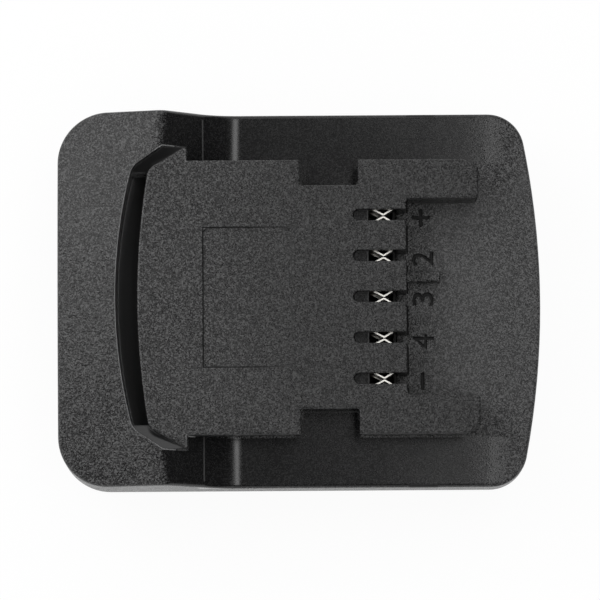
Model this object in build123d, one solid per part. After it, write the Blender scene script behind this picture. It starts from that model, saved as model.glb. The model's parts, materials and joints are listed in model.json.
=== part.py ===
from build123d import *
from math import cos, radians, sqrt, tan
import os

# Slide-in battery adapter. Millimetres. X points the way it slides into the tool, Z up to the tool.
# The origin is under the middle of the body, on the surface it stands on.

# Body
nose_margin = 12.7
side_margin = 7.45
rear_corner_radius = 10.2
front_corner_radius = 7.5
nose_radius = 165.0
wall = 2.4
draft_angle = 0.5
lower_draft_angle = 3.0
parting_step = 0.5
outer_round = 0.8
seam_clearance = 0.15
overrun = 6.0
upright_limit = 0.2

# Levels, from the ground up
lip_height = 3.0
channel_height = 7.0
roof_thickness = 2.0
skirt_height = 9.0
deck_to_plate = 12.0
plate_fall = 1.0
plate_fall_length = 9.0
plate_brow_round = 41.0

# Hump and its slope down to the plate
slope_foot_margin = 6.35
hump_side_height = 10.9
hump_fall_angle = 18.3
hump_crown_radius = 207.0
slope_angle = 45.5
crest_round = 3.0
slope_foot_round = 10.9

# Trench between hump and slide block
trench_inset = 11.8
trench_width = 4.3
trench_radius = 103.0
trench_mouth_length = 4.7
trench_diagonal_angle = 33.7
trench_knee_round = 4.0
ramp_run = 5.0
ramp_fall = 1.9
ridge_drop = 0.3

# Slide block, its ears, rails, notches and arms
block_length = 53.9
block_height = 9.0
block_rear_radius = 150.0
block_knee_round = 3.0
block_edge_round = 0.35
block_roof = 2.2
block_wall = 2.0
ear_length = 9.9
ear_reach = 2.8
ear_diagonal_angle = 29.7
ear_tip_round = 0.4
rail_thickness = 4.0
rail_overhang = 3.5
notch_inset = 32.6
notch_length = 11.65
notch_depth = 5.1
notch_round = 0.5
arm_length = 14.4
arm_width = 7.9
arm_chamfer_length = 3.0
arm_chamfer_width = 1.6
arm_tip_round = 1.0
arm_root_round = 0.9
chamber_inset = 3.8
chamber_margin = 4.0

# Terminal slots and the key rib in front of them
slot_count = 5
slot_pitch = 8.2
slot_width = 2.3
slot_length = 10.7
rib_length = 6.8
rib_width = 2.1
rib_height = 1.8
rib_offset = 4.55
rib_round = 0.3

# Shallow recess for a label on top of the block
label_inset = 13.2
label_length = 17.7
label_width = 28.0
label_depth = 0.15
label_corner_round = 1.3
label_side_share = 0.9

# Receptacle for the donor battery
channel_width = 58.0
mouth_width = 49.0
bay_end_wall = 3.4
bay_floor = 2.5
terminal_wall = 2.5
side_pocket_width = 2.9
side_pocket_wall = 2.0
side_pocket_end_gap = 5.0
side_pocket_rear_gap = 10.1
catch_inset = 12.0
catch_length = 7.0
catch_width = 16.0
catch_depth = 2.6
catch_cover = 1.6
rim_height = 1.6
rim_thickness = 1.2
lip_foot_round = 0.6

# Screws and their bosses
screw_radius = 1.45
screw_length = 10.0
screw_head_radius = 2.75
screw_head_height = 2.0
screw_clearance = 0.1
head_clearance = 0.35
shank_clearance = 0.175
well_wall = 1.2
boss_radius = 3.2
drive_width = 1.0
drive_length = 4.0
board_drive_width = 0.7
board_drive_length = 2.8
board_drive_depth = 0.5
drive_depth = 1.0
rear_screw_inset = 7.7
rear_screw_spacing = 40.0
rear_seat_rise = 3.0
front_screw_inset = 10.2
front_screw_margin = 4.7
front_seat_level = 6.0
screw_tip_gap = 1.0

# Circuit board, its posts and screws
post_height = 5.0
post_radius = 2.6
board_thickness = 1.6
board_side_margin = 0.6
board_corner_round = 1.5
board_overhang = 8.4
board_screw_inset = 3.0
board_screw_edge = 4.0
board_screw_radius = 1.0
board_screw_length = 4.5
board_screw_tip_gap = 0.5
board_screw_head_radius = 1.9
board_screw_head_height = 1.3
board_hole_clearance = 0.1
pin_spacing = 21.0
pin_radius = 1.0
pin_rise = 0.9

# Spring fork contacts in their carrier
contact_thickness = 0.35
contact_pinch_setback = 4.6
contact_pinch_gap = 0.06
contact_tip_reach = 1.7
contact_tip_spread = 2.5
contact_arm_reach = 2.0
contact_arm_spread = 2.5
contact_length = 7.7
contact_top_gap = 0.3
contact_finger_gap = 0.5
contact_lower_shift = 0.75
contact_bridge_height = 5.0
contact_finger_start = 2.2
tail_width = 1.2
tail_drop = 1.2
tail_clearance = 0.15
carrier_height = 5.0
carrier_floor = 0.8
carrier_wall_clearance = 0.2
carrier_pocket_clearance = 0.3
carrier_setback = 0.1
carrier_length = 10.2

# Parts on the board: length, width and height of each, and the gap kept between them
part_gap = 1.3
chip_size = (5.0, 4.0, 1.5)
transistor_size = (6.6, 6.1, 2.3)
transistor_tab_size = (4.0, 5.2, 0.6)
fuse_size = (7.4, 5.1, 3.0)
resistor_size = (2.0, 1.25, 0.5)
resistor_count = 5
resistor_pitch = 3.0
capacitor_size = (3.2, 1.6, 1.4)
capacitor_count = 3
capacitor_pitch = 6.0
thermistor_size = (2.0, 1.2, 0.9)
thermistor_setback = 5.5
part_edge_round = 0.2

# Blades for the donor battery and their holder
blade_count = 4
blade_pitch = 11.0
blade_thickness = 0.8
blade_height = 5.0
blade_reach = 14.5
blade_nose = 1.2
blade_tip_thickness = 0.3
blade_tail_length = 1.5
blade_tail_height = 2.0
holder_nose = 2.5
blade_end_margin = 4.5
holder_side_margin = 4.5
holder_nose_gap = 0.5
holder_flange = 2.5
holder_clearance = 0.15
holder_rib_thickness = 1.4
holder_rib_depth = 4.0

# Leads from blades to board
power_wire_radius = 1.3
signal_wire_radius = 0.75
wire_bend_stub = 0.325
wire_wall_gap = 0.475
wire_bend_radius = 3.2
wire_landing = 6.0
wire_lift = 0.05

# Widths and lengths that follow from the sizes
chamber_width = (slot_count - 1) * slot_pitch + 2 * chamber_margin
block_width = chamber_width + 2 * (notch_depth + block_wall)
neck_width = block_width - 2 * rail_overhang
ear_width = block_width + 2 * ear_reach
ramp_start_width = ear_width - 2 * ramp_run
board_width = chamber_width + 2 * board_side_margin
board_screw_spacing = board_width - 2 * board_screw_edge
body_width = ear_width + 2 * side_margin
body_length = trench_inset + trench_width + block_length + arm_length + nose_margin
hump_length = trench_inset + trench_width + ear_length + slope_foot_margin
holder_nose_width = (blade_count - 1) * blade_pitch + 2 * blade_end_margin
bay_width = holder_nose_width + 2 * holder_side_margin
front_screw_spacing = bay_width + 2 * front_screw_margin
bay_length = (
    terminal_wall
    + holder_flange
    + blade_tail_length
    + wire_bend_stub
    + wire_bend_radius
    + power_wire_radius
    + wire_wall_gap
    + bay_end_wall
    + parting_step
)

# Places that follow from the sizes
rear_x = -body_length / 2
nose_x = body_length / 2
channel_roof_level = lip_height + channel_height
deck_level = channel_roof_level + roof_thickness
plate_level = deck_level + deck_to_plate
parting_level = plate_level - skirt_height
block_top = plate_level + block_height
plate_underside = plate_level - wall
slope_foot_x = rear_x + hump_length
trench_x = rear_x + trench_inset
block_x = trench_x + trench_width
ear_x = block_x + ear_length
front_x = block_x + block_length
arm_x = front_x + arm_length
notch_x = block_x + notch_inset
chamber_end_x = front_x - block_wall
terminal_wall_x = nose_x - bay_length
bay_x = terminal_wall_x + terminal_wall
board_level = deck_level + post_height
board_top = board_level + board_thickness
board_front_x = front_x + board_overhang
carrier_x = chamber_end_x - carrier_setback - carrier_length
board_rear_zone = capacitor_size[0] + chip_size[0] + resistor_size[0] + 4 * part_gap
board_rear_x = carrier_x - board_rear_zone
board_length = board_front_x - board_rear_x
capacitor_x = board_rear_x + part_gap + capacitor_size[0] / 2
chip_x = board_rear_x + 2 * part_gap + capacitor_size[0] + chip_size[0] / 2
resistor_x = carrier_x - part_gap - resistor_size[0] / 2
fuse_x = carrier_x - part_gap - fuse_size[0] / 2
transistor_tab_x = carrier_x - part_gap - transistor_tab_size[0] / 2
transistor_x = transistor_tab_x - transistor_size[0] / 2
capacitor_row_half = (capacitor_count - 1) * capacitor_pitch / 2 + capacitor_size[1] / 2
resistor_row_half = (resistor_count - 1) * resistor_pitch / 2 + resistor_size[1] / 2
side_parts_y = max(capacitor_row_half, resistor_row_half) + part_gap
pin_x = board_front_x - board_screw_inset
board_screw_x = board_rear_x + board_screw_inset
rear_screw_x = rear_x + rear_screw_inset
front_screw_x = nose_x - front_screw_inset
rear_seat_level = channel_roof_level + rear_seat_rise
hump_limit = plate_level + hump_side_height + hump_length
blade_level = lip_height + (channel_height - blade_height) / 2 + blade_height / 2
blade_tip_x = terminal_wall_x - blade_reach
holder_back_x = bay_x + holder_flange
blade_tail_x = holder_back_x + blade_tail_length
contact_top = block_top - block_roof - contact_top_gap
contact_base = board_top + carrier_floor
pinch_x = front_x - contact_pinch_setback


def body_outline(inset):
    """Plan of the body: straight rear and sides, a bowed nose, four round corners."""
    nose = Pos(nose_x - nose_radius, 0) * Circle(nose_radius - inset)
    blank = Rectangle(body_length - 2 * inset, body_width - 2 * inset)
    face = blank & nose
    corners = face.vertices().sort_by(Axis.X)
    rear, front = corners[:2], corners[-2:]
    face = fillet(rear, rear_corner_radius - inset)
    front = face.vertices().sort_by(Axis.X)[-2:]
    return fillet(front, front_corner_radius - inset)


def tapered(face, height, angle):
    """Prism that draws in as it rises."""
    return extrude(face, amount=height, taper=angle)


def box_between(low_x, high_x, half_width, low_z, high_z):
    """Box across the middle, given by its two ends in X and Z."""
    size = Box(high_x - low_x, 2 * half_width, high_z - low_z)
    return Pos((low_x + high_x) / 2, 0, (low_z + high_z) / 2) * size


def both_sides(part):
    """The part and its mirror image across the middle plane."""
    return part + mirror(part, about=Plane.XZ)


def slope_rise(run):
    """Height of the slope above the plate, at a distance back from its foot."""
    return run * tan(radians(slope_angle))


def slope_and_plate():
    """Everything below the slope, the plate and the fall of the plate to the nose."""
    back = rear_x - overrun
    top = slope_rise(slope_foot_x - back)
    fall_x = nose_x - plate_fall_length
    front = nose_x + overrun
    end_drop = plate_fall * (front - fall_x) / plate_fall_length
    outline = Polyline(
        (back, 0),
        (back, plate_level + top),
        (slope_foot_x, plate_level),
        (fall_x, plate_level),
        (front, plate_level - end_drop),
        (front, 0),
        close=True,
    )
    face = Plane.XZ * make_face(outline)
    foot = face.vertices().sort_by_distance((slope_foot_x, 0, plate_level))[:1]
    face = fillet(foot, slope_foot_round)
    brow = face.vertices().sort_by_distance((fall_x, 0, plate_level))[:1]
    face = fillet(brow, plate_brow_round)
    return extrude(face, amount=body_width / 2 + wall, both=True)


def under_hump():
    """Everything below the hump's crowned top, which is a shallow cone about the X direction."""
    crown_rise = hump_crown_radius - sqrt(hump_crown_radius**2 - (body_width / 2) ** 2)
    crest_run = hump_side_height / tan(radians(slope_angle))
    crest_x = slope_foot_x - crest_run
    crest_z = plate_level + hump_side_height + crown_rise
    back = rear_x - overrun
    front = nose_x + overrun
    back_z = crest_z - (crest_x - back) * tan(radians(hump_fall_angle))
    front_z = crest_z + (front - crest_x) * tan(radians(hump_fall_angle))
    axis_z = crest_z - hump_crown_radius
    profile = Polyline(
        (back, axis_z), (back, back_z), (front, front_z), (front, axis_z), close=True
    )
    face = Plane.XZ * make_face(profile)
    axis = Axis((back, 0, axis_z), (1, 0, 0))
    half = revolve(face, axis, 90)
    return half + mirror(half, about=Plane.XZ)


def top_form():
    """Everything below the upper surface of the case, with the crest rounded."""
    form = slope_and_plate() & under_hump()
    crest_run = hump_side_height / tan(radians(slope_angle))
    place = Vector(slope_foot_x - crest_run, 0, plate_level + hump_side_height)
    crest = form.edges().filter_by(GeomType.LINE, reverse=True).sort_by_distance(place)[:1]
    return fillet(crest, crest_round)


def outer_form():
    """Outside of the upper housing, before the trench and the block."""
    blank = Pos(0, 0, parting_level) * tapered(body_outline(0), hump_limit - parting_level, draft_angle)
    form = blank & top_form()
    return fillet(rims_of(form), outer_round)


def rims_of(form):
    """Edges between the top surface and the side wall."""
    low = parting_level + skirt_height / 2
    sides = [face for face in form.faces() if abs(face.normal_at().Z) < upright_limit]
    edges = [edge for face in sides for edge in face.edges()]
    return [edge for edge in edges if edges.count(edge) == 1 and edge.center().Z > low]


def wedge_plan(apex_x, radius, end_x, half_width, straight, angle, back_x):
    """Plan bounded behind by an arc, then by a diagonal each side out to the full width."""
    arc = Pos(apex_x + radius, 0) * Circle(radius)
    start_x = end_x - straight
    back_half = half_width - (start_x - back_x) * tan(radians(angle))
    points = [
        (back_x, -back_half),
        (start_x, -half_width),
        (end_x, -half_width),
        (end_x, half_width),
        (start_x, half_width),
        (back_x, back_half),
    ]
    outline = Polyline(*points, close=True) if straight else Polyline(
        points[0], points[2], points[3], points[5], close=True
    )
    return make_face(outline) & arc


def trench_plan():
    """Plan of the pocket that holds the rear of the block, out to the hump's edge."""
    face = wedge_plan(
        trench_x,
        trench_radius,
        ear_x,
        ear_width / 2,
        trench_mouth_length,
        trench_diagonal_angle,
        trench_x - wall,
    )
    knees = face.vertices().sort_by(Axis.X)[:2]
    return fillet(knees, trench_knee_round)


def block_rear_plan():
    """Plan of the rear of the block with its two ears."""
    face = wedge_plan(
        block_x, block_rear_radius, ear_x, ear_width / 2, 0, ear_diagonal_angle, block_x - wall
    )
    knees = face.vertices().sort_by(Axis.X)[:2]
    return fillet(knees, block_knee_round)


def arm_plan():
    """Plan of one arm, with its chamfered tip."""
    outer = block_width / 2
    inner = outer - arm_width
    outline = Polyline(
        (front_x - block_wall, inner),
        (arm_x, inner),
        (arm_x, outer - arm_chamfer_width),
        (arm_x - arm_chamfer_length, outer),
        (front_x - block_wall, outer),
        close=True,
    )
    return make_face(outline)


def notch_plan():
    """Plan of the notch in one rail."""
    centre_x = notch_x + notch_length / 2
    centre_y = (block_width + ear_width) / 4 - notch_depth / 2
    depth = notch_depth + (ear_width - block_width) / 2
    face = Pos(centre_x, centre_y) * Rectangle(notch_length, depth)
    inner = face.vertices().sort_by(Axis.Y)[:2]
    return fillet(inner, notch_round)


def block_plan():
    """Plan of the whole slide block."""
    length = front_x - ear_x
    middle = Pos(ear_x + length / 2, 0) * Rectangle(length, block_width)
    arm = arm_plan()
    notch = notch_plan()
    face = block_rear_plan() + middle + arm + mirror(arm, about=Plane.XZ)
    face = face - notch - mirror(notch, about=Plane.XZ)
    inner = block_width / 2 - arm_width
    for side in (-1, 1):
        tip = face.vertices().sort_by_distance((arm_x, side * inner, 0))[:1]
        face = fillet(tip, arm_tip_round)
        root = face.vertices().sort_by_distance((front_x, side * inner, 0))[:1]
        face = fillet(root, arm_root_round)
        ear = face.vertices().sort_by_distance((ear_x, side * ear_width / 2, 0))[:1]
        face = fillet(ear, ear_tip_round)
    return face


def slot_centres():
    """Y of each terminal slot."""
    middle = (slot_count - 1) / 2
    return [(middle - index) * slot_pitch for index in range(slot_count)]


def terminal_slots():
    """Cutters for the slots: a round inner end and an open front."""
    start = front_x - slot_length
    cut = None
    for y in slot_centres():
        straight = slot_length - slot_width / 2 + block_wall
        bar = Pos(start + slot_width / 2 + straight / 2, y) * Rectangle(straight, slot_width)
        end = Pos(start + slot_width / 2, y) * Circle(slot_width / 2)
        tool = Pos(0, 0, plate_level) * extrude(bar + end, amount=block_height + overrun)
        cut = tool if cut is None else cut + tool
    return cut


def slide_block():
    """The slide block with its rails, before the chamber inside is cut."""
    block = extrude(block_plan(), amount=block_height)
    rims = block.faces().sort_by(Axis.Z)[-1].outer_wire().edges()
    block = fillet(rims, block_edge_round)
    return Pos(0, 0, plate_level) * (block - rail_gaps())


def rail_gaps():
    """Cutters for the groove under each rail, from the ears to past the arms."""
    depth = rail_overhang + (ear_width - block_width) / 2 + overrun
    length = arm_x + overrun - ear_x
    height = block_height - rail_thickness
    gap = Pos(ear_x + length / 2, neck_width / 2 + depth / 2, height / 2) * Box(length, depth, height)
    return both_sides(gap)


def trench_ramps():
    """Shelves that close the two ends of the trench, rising gently outwards to the ears' level."""
    low = ramp_start_width / 2
    high = ear_width / 2
    rise = block_height - ridge_drop
    outline = Polyline((low, 0), (low, rise - ramp_fall), (high, rise), (high, 0), close=True)
    face = Plane.YZ * make_face(outline)
    ramp = Pos(trench_x, 0, plate_level) * extrude(face, amount=ear_x - trench_x)
    return both_sides(ramp)


def label_recess():
    """Cutter for the shallow label recess, with sloping sides."""
    plan = Rectangle(label_length, label_width)
    plan = fillet(plan.vertices(), label_corner_round)
    cut = extrude(plan, amount=label_depth + overrun)
    cut = chamfer(cut.faces().sort_by(Axis.Z)[0].edges(), label_depth * label_side_share)
    return Pos(block_x + label_inset + label_length / 2, 0, block_top - label_depth) * cut


def key_rib():
    """Low rib in front of the slots that keys the tool's terminal block."""
    rib = Pos(front_x + (rib_length - block_wall) / 2, rib_offset, plate_level + rib_height / 2) * Box(
        rib_length + block_wall, rib_width, rib_height
    )
    rims = rib.faces().sort_by(Axis.Z)[-1].edges()
    return fillet(rims, rib_round)


def hump_hollow():
    """Inside of the case under the hump and the slope, clear of the trench walls."""
    blank = tapered(body_outline(wall), hump_limit - parting_level, draft_angle)
    form = Pos(0, 0, -wall) * (slope_and_plate() & under_hump())
    hollow = (Pos(0, 0, parting_level) * blank) & form
    kept = offset(trench_plan() + block_plan(), amount=wall, kind=Kind.INTERSECTION)
    core = Pos(0, 0, plate_underside) * extrude(kept, amount=hump_limit)
    front = box_between(slope_foot_x, nose_x + overrun, body_width, plate_underside, hump_limit)
    return hollow - core - front


def chamber():
    """Hollow inside the slide block, for the contacts and the tall parts on the board."""
    start = block_x + chamber_inset
    return box_between(start, chamber_end_x, chamber_width / 2, parting_level, block_top - block_roof)


def screw_places():
    """Centre, seat level and lower end of the boss for each housing screw."""
    places = []
    for side in (-1, 1):
        rear = (rear_screw_x, side * rear_screw_spacing / 2)
        front = (front_screw_x, side * front_screw_spacing / 2)
        places.append((rear, rear_seat_level, rear_seat_level + wall))
        places.append((front, front_seat_level, deck_level))
    return places


def column(place, low, high, radius):
    """Round column or hole standing upright."""
    height = high - low
    return Pos(place[0], place[1], low + height / 2) * Cylinder(radius, height)


def upper_housing():
    """Upper shell: plate, hump, trench, slide block, slots and screw bosses."""
    pocket = Pos(0, 0, plate_level) * extrude(trench_plan(), amount=hump_limit)
    shell = outer_form() - pocket + (trench_ramps() & pocket)
    shell = shell + slide_block() + key_rib()
    shell = shell - hump_hollow() - chamber() - terminal_slots()
    bosses = None
    holes = None
    shell = shell - label_recess()
    for place, seat, low in screw_places():
        boss = column(place, low, hump_limit, boss_radius)
        top = seat + screw_length + screw_tip_gap
        hole = column(place, low - overrun, top, screw_radius + screw_clearance)
        bosses = boss if bosses is None else bosses + boss
        holes = hole if holes is None else holes + hole
    bosses = bosses & (Pos(0, 0, -wall / 2) * (slope_and_plate() & under_hump()))
    return (shell + bosses) - holes


def lower_blank():
    """Outside of the lower housing, stepped in at the seam and drawn in towards the ground."""
    blank = tapered(body_outline(parting_step), parting_level, lower_draft_angle)
    blank = Pos(0, 0, parting_level) * mirror(blank, about=Plane.XY)
    return fillet(blank.faces().sort_by(Axis.Z)[0].edges(), lip_foot_round)


def locating_rim():
    """Rim on top of the lower housing that fits inside the upper one."""
    outer = body_outline(wall + seam_clearance)
    inner = body_outline(wall + seam_clearance + rim_thickness)
    rim = tapered(outer, rim_height, draft_angle) - extrude(inner, amount=rim_height)
    return Pos(0, 0, parting_level) * rim


def donor_channel():
    """Space for the donor battery's rails: open behind and below, with a lead-in at the lips."""
    rear = rear_x - overrun
    wide = box_between(rear, terminal_wall_x, channel_width / 2, lip_height, channel_roof_level)
    mouth = box_between(rear, terminal_wall_x, mouth_width / 2, -overrun, channel_roof_level)
    return wide + mouth


def lower_hollows():
    """Bay behind the end wall, the cored-out sides and the tray above the deck."""
    low, high = bay_floor, parting_level + overrun
    tray = Pos(0, 0, deck_level) * extrude(body_outline(parting_step + wall), amount=high - deck_level)
    inner_front = nose_x - parting_step - bay_end_wall
    bay = box_between(bay_x, inner_front, bay_width / 2, low, high)
    rounding = Pos(0, 0, low) * extrude(body_outline(parting_step + wall), amount=high - low)
    start = rear_x + side_pocket_rear_gap
    end = terminal_wall_x - side_pocket_end_gap
    centre_y = channel_width / 2 + side_pocket_wall + side_pocket_width / 2
    size = Box(end - start, side_pocket_width, high - low)
    pocket = Pos((start + end) / 2, centre_y, (low + high) / 2) * size
    return (bay & rounding) + both_sides(pocket) + tray


def holder_ribs():
    """Ribs in the bay that trap the blade holder against the end wall."""
    thickness = holder_rib_thickness
    start = holder_back_x + holder_clearance
    depth = holder_rib_depth
    height = deck_level - bay_floor
    centre_y = bay_width / 2 - depth / 2
    rib = Pos(start + thickness / 2, centre_y, bay_floor + height / 2) * Box(thickness, depth, height)
    return both_sides(rib)


def holder_window():
    """Window in the end wall that the blade holder's nose passes through."""
    gap = holder_clearance
    low = lip_height + holder_nose_gap - gap
    high = channel_roof_level - holder_nose_gap + gap
    return box_between(
        terminal_wall_x - overrun, holder_back_x, holder_nose_width / 2 + gap, low, high
    )


def catch_pocket(grow):
    """Recess in the channel roof that the donor battery's latch snaps into."""
    start = rear_x + catch_inset
    top = channel_roof_level + catch_depth
    return box_between(
        start - grow, start + catch_length + grow, catch_width / 2 + grow, channel_roof_level, top + grow
    )


def board_posts():
    """Four posts under the board: two take screws, two end in a locating pin."""
    posts = None
    for x, spacing in ((board_screw_x, board_screw_spacing), (pin_x, pin_spacing)):
        for side in (-1, 1):
            post = column((x, side * spacing / 2), deck_level, board_level, post_radius)
            posts = post if posts is None else posts + post
    for side in (-1, 1):
        place = (pin_x, side * pin_spacing / 2)
        posts = posts + column(place, board_level, board_top + pin_rise, pin_radius)
        place = (board_screw_x, side * board_screw_spacing / 2)
        depth = board_top - board_screw_length - board_screw_tip_gap
        posts = posts - column(place, depth, board_level + overrun, board_screw_radius + screw_clearance)
    return posts


def lower_housing():
    """Lower shell: receptacle, bay, posts, seats for the housing screws."""
    shell = lower_blank() + locating_rim()
    shell = shell - donor_channel() - lower_hollows()
    shell = shell + holder_ribs()
    for place, seat, low in screw_places():
        if seat > channel_roof_level:
            shell = shell + column(place, channel_roof_level, low, screw_head_radius + well_wall)
        else:
            shell = shell + column(place, 0, low, screw_head_radius + well_wall)
    shell = shell + catch_pocket(catch_cover) - catch_pocket(0) - holder_window()
    for place, seat, low in screw_places():
        well = column(place, -overrun, seat, screw_head_radius + head_clearance)
        hole = column(place, seat - overrun, low + overrun, screw_radius + shank_clearance)
        shell = shell - well - hole
    return shell + board_posts()


def pan_head_screw(radius, length, head_radius, head_height, slot, slot_length, slot_depth):
    """Screw pointing up, its head's bearing face at zero height, with a cross slot below."""
    shank = Pos(0, 0, length / 2) * Cylinder(radius, length)
    shank = chamfer(shank.faces().sort_by(Axis.Z)[-1].edges(), radius / 2)
    head = Pos(0, 0, -head_height / 2) * Cylinder(head_radius, head_height)
    head = fillet(head.faces().sort_by(Axis.Z)[0].edges(), head_height / 3)
    cross = Box(slot, slot_length, 2 * slot_depth) + Box(slot_length, slot, 2 * slot_depth)
    return shank + head - Pos(0, 0, -head_height) * cross


def housing_screws():
    """Four screws that hold the two shells together, driven from below."""
    screw = pan_head_screw(
        screw_radius,
        screw_length,
        screw_head_radius,
        screw_head_height,
        drive_width,
        drive_length,
        drive_depth,
    )
    return [Pos(place[0], place[1], seat) * screw for place, seat, low in screw_places()]


def board_screws():
    """Two screws that hold the board on its posts, driven from above."""
    screw = pan_head_screw(
        board_screw_radius,
        board_screw_length,
        board_screw_head_radius,
        board_screw_head_height,
        board_drive_width,
        board_drive_length,
        board_drive_depth,
    )
    turned = Rot(180, 0, 0) * screw
    places = [(board_screw_x, side * board_screw_spacing / 2) for side in (-1, 1)]
    return [Pos(x, y, board_top) * turned for x, y in places]


def circuit_board():
    """Board with holes for its screws, its pins and the contact tails."""
    plan = Pos(board_front_x - board_length / 2, 0) * Rectangle(board_length, board_width)
    plan = fillet(plan.vertices(), board_corner_round)
    for side in (-1, 1):
        screw_hole = Circle(board_screw_radius + board_hole_clearance)
        plan = plan - Pos(board_screw_x, side * board_screw_spacing / 2) * screw_hole
        plan = plan - Pos(pin_x, side * pin_spacing / 2) * Circle(pin_radius + board_hole_clearance)
    for y in slot_centres():
        plan = plan - Pos(contact_tail_x(), y) * tail_hole()
    return Pos(0, 0, board_level) * extrude(plan, amount=board_thickness)


def contact_tail_x():
    """X of the contacts' solder tails, under their bridges."""
    return pinch_x + contact_tip_reach - contact_length + contact_thickness / 2


def tail_hole():
    """Hole that a solder tail passes through."""
    return Rectangle(contact_thickness + 2 * tail_clearance, tail_width + 2 * tail_clearance)


def leaf_plan(side, shift):
    """Plan of one sprung leaf: straight, in to the pinch, and out again at the tip."""
    half = contact_thickness / 2
    near = side * (contact_pinch_gap / 2 + half)
    far = side * contact_arm_spread / 2
    tip = side * contact_tip_spread / 2
    root_x = pinch_x + contact_tip_reach - contact_length
    arm_x0 = pinch_x - contact_arm_reach - shift
    tip_x = pinch_x + contact_tip_reach - shift
    points = [(root_x, far), (arm_x0, far), (pinch_x - shift, near), (tip_x, tip)]
    path = FilletPolyline(*points, radius=contact_thickness)
    return trace(path, line_width=contact_thickness)


def spring_contact(y):
    """Fork contact: a bridge with a solder tail and two pairs of leaves, one above the other."""
    height = contact_top - contact_base
    finger_low = contact_base + contact_finger_start
    finger_mid = (finger_low + contact_top) / 2
    root_x = pinch_x + contact_tip_reach - contact_length
    contact = Pos(root_x + contact_thickness / 2, 0, contact_base + height / 2) * Box(
        contact_thickness, contact_arm_spread + contact_thickness, height
    )
    base_length = contact_length - contact_tip_reach - contact_arm_reach - contact_lower_shift
    upper_start = finger_mid + contact_finger_gap / 2
    lower_end = finger_mid - contact_finger_gap / 2
    for side in (-1, 1):
        cheek = Box(base_length, contact_thickness, contact_bridge_height)
        place = Pos(
            root_x + base_length / 2,
            side * contact_arm_spread / 2,
            contact_base + contact_bridge_height / 2,
        )
        contact = contact + place * cheek
        upper = extrude(leaf_plan(side, 0), amount=contact_top - upper_start)
        lower = extrude(leaf_plan(side, contact_lower_shift), amount=lower_end - finger_low)
        contact = contact + Pos(0, 0, upper_start) * upper
        contact = contact + Pos(0, 0, finger_low) * lower
    tail_height = contact_base - board_level + tail_drop
    tail = Box(contact_thickness, tail_width, tail_height)
    contact = contact + Pos(contact_tail_x(), 0, contact_base - tail_height / 2) * tail
    return Pos(0, y, 0) * contact


def contact_carrier():
    """Insulating comb on the board, with a pocket for each contact."""
    half = chamber_width / 2 - carrier_wall_clearance
    top = board_top + carrier_height
    body = box_between(carrier_x, carrier_x + carrier_length, half, board_top, top)
    pocket_length = contact_length + 2 * carrier_pocket_clearance
    pocket_x = pinch_x + contact_tip_reach - contact_length / 2
    pocket_width = contact_arm_spread + contact_thickness + 2 * carrier_pocket_clearance
    for y in slot_centres():
        pocket = Box(pocket_length, pocket_width, carrier_height)
        body = body - Pos(pocket_x, y, board_top + carrier_floor + carrier_height / 2) * pocket
        hole = extrude(tail_hole(), amount=carrier_height)
        body = body - Pos(contact_tail_x(), y, board_top - carrier_height / 2) * hole
    return body


def board_part(x, y, size):
    """Soft-edged block standing on the board."""
    block = Box(size[0], size[1], size[2])
    block = chamfer(block.faces().sort_by(Axis.Z)[-1].edges(), part_edge_round)
    return Pos(x, y, board_top + size[2] / 2) * block


def part_row(x, size, count, pitch):
    """Like parts side by side across the board."""
    middle = (count - 1) / 2
    return [board_part(x, (index - middle) * pitch, size) for index in range(count)]


def cutoff_transistor():
    """Power transistor: a body standing on its metal tab."""
    y = -(side_parts_y + transistor_size[1] / 2)
    tab = board_part(transistor_tab_x, y, transistor_tab_size)
    return board_part(transistor_x, y, transistor_size) + tab


def blade_centres():
    """Y of each blade, from the plus side to the minus side."""
    middle = (blade_count - 1) / 2
    return [(middle - index) * blade_pitch for index in range(blade_count)]


def blade(y):
    """Flat blade with a tapered nose in the channel and a tail in the bay."""
    half, tip = blade_thickness / 2, blade_tip_thickness / 2
    outline = Polyline(
        (blade_tip_x, -tip),
        (blade_tip_x + blade_nose, -half),
        (holder_back_x, -half),
        (holder_back_x, half),
        (blade_tip_x + blade_nose, half),
        (blade_tip_x, tip),
        close=True,
    )
    flat = Pos(0, 0, blade_level - blade_height / 2) * extrude(make_face(outline), amount=blade_height)
    tail = Box(blade_tail_length, blade_thickness, blade_tail_height)
    tail = Pos(holder_back_x + blade_tail_length / 2, 0, blade_level) * tail
    return Pos(0, y, 0) * (flat + tail)


def blade_holder():
    """Insulating block: a nose through the end wall and a flange behind it."""
    low = lip_height + holder_nose_gap
    high = channel_roof_level - holder_nose_gap
    nose = box_between(terminal_wall_x - holder_nose, bay_x, holder_nose_width / 2, low, high)
    rims = nose.faces().sort_by(Axis.X)[0].edges()
    nose = chamfer(rims, holder_nose_gap)
    flange_half = bay_width / 2 - holder_clearance
    top = deck_level
    flange = box_between(bay_x, holder_back_x, flange_half, bay_floor, top)
    holder = nose + flange
    for y in blade_centres():
        slot = Box(bay_length, blade_thickness, blade_height)
        holder = holder - Pos(terminal_wall_x, y, blade_level) * slot
    return holder


def lead(y, radius):
    """Lead from a blade's tail, up the bay and back over the board."""
    rise_x = blade_tail_x + wire_bend_radius + wire_bend_stub
    height = board_top + radius + wire_lift
    land_x = board_front_x - wire_landing
    path = FilletPolyline(
        (blade_tail_x, y, blade_level),
        (rise_x, y, blade_level),
        (rise_x, y, height),
        (land_x, y, height),
        radius=wire_bend_radius,
    )
    start = Plane(origin=(blade_tail_x, y, blade_level), z_dir=(1, 0, 0))
    return sweep(start * Circle(radius), path=path)


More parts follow.
